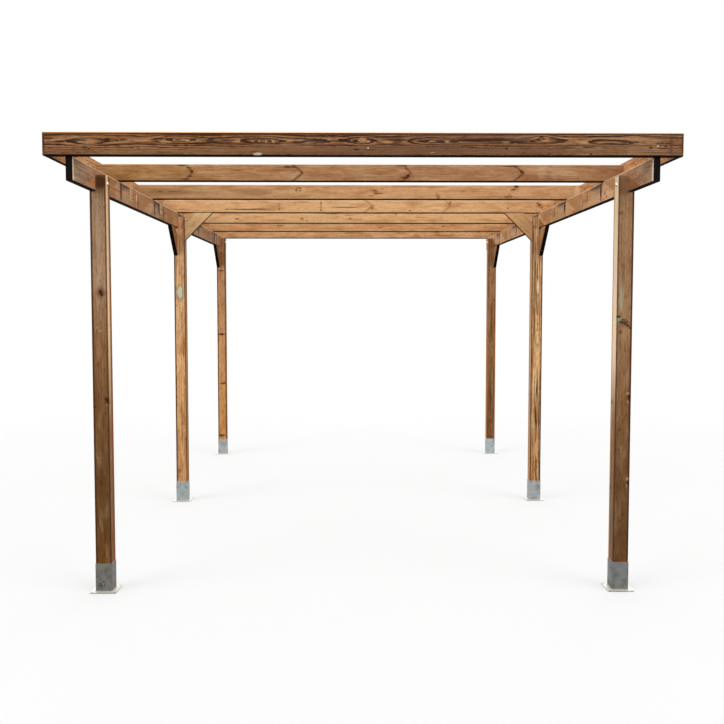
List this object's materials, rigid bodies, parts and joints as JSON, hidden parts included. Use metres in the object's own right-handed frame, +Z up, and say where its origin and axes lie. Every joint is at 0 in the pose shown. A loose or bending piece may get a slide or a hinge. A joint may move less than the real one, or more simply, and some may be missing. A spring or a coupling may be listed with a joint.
{
  "type": "roofless carport",
  "caption": "Open timber carport frame: notched square posts in steel shoes carry side beams, cross rafters, a band of outer boards and knee braces.",
  "frame": {"origin": "on the ground at the centre of the frame's plan, the middle of the bounding box's bottom face", "axes": "+Z up, +X to the right across the bay as seen from the front, +Y from the front beam to the rear beam"},
  "size_m": [3.28, 5.49, 2.525],
  "materials": {
    "post_timber": "stained planed softwood, matt",
    "side_beam_timber": "stained planed softwood, matt",
    "band_timber": "dark stained planed softwood, matt",
    "rafter_timber": "light stained planed softwood, matt",
    "brace_timber": "light stained planed softwood, matt",
    "galvanised_steel": "dull galvanised"
  },
  "bodies": {
    "root": {"base_front_left": "galvanised_steel", "base_front_right": "galvanised_steel", "base_mid_left": "galvanised_steel", "base_mid_right": "galvanised_steel", "base_rear_left": "galvanised_steel", "base_rear_right": "galvanised_steel", "post_front_left": "post_timber", "post_front_right": "post_timber", "post_mid_left": "post_timber", "post_mid_right": "post_timber", "post_rear_left": "post_timber", "post_rear_right": "post_timber", "side_beam_left": "side_beam_timber", "side_beam_right": "side_beam_timber", "front_beam": "band_timber", "rear_beam": "band_timber", "rafter_1": "rafter_timber", "rafter_2": "rafter_timber", "rafter_3": "rafter_timber", "rafter_4": "rafter_timber", "rafter_5": "rafter_timber", "side_board_left": "band_timber", "side_board_right": "band_timber", "cross_brace_left": "brace_timber", "cross_brace_right": "brace_timber", "long_brace_mid_left": "brace_timber", "long_brace_mid_right": "brace_timber", "long_brace_rear_left": "brace_timber", "long_brace_rear_right": "brace_timber"}
  },
  "joints": []
}
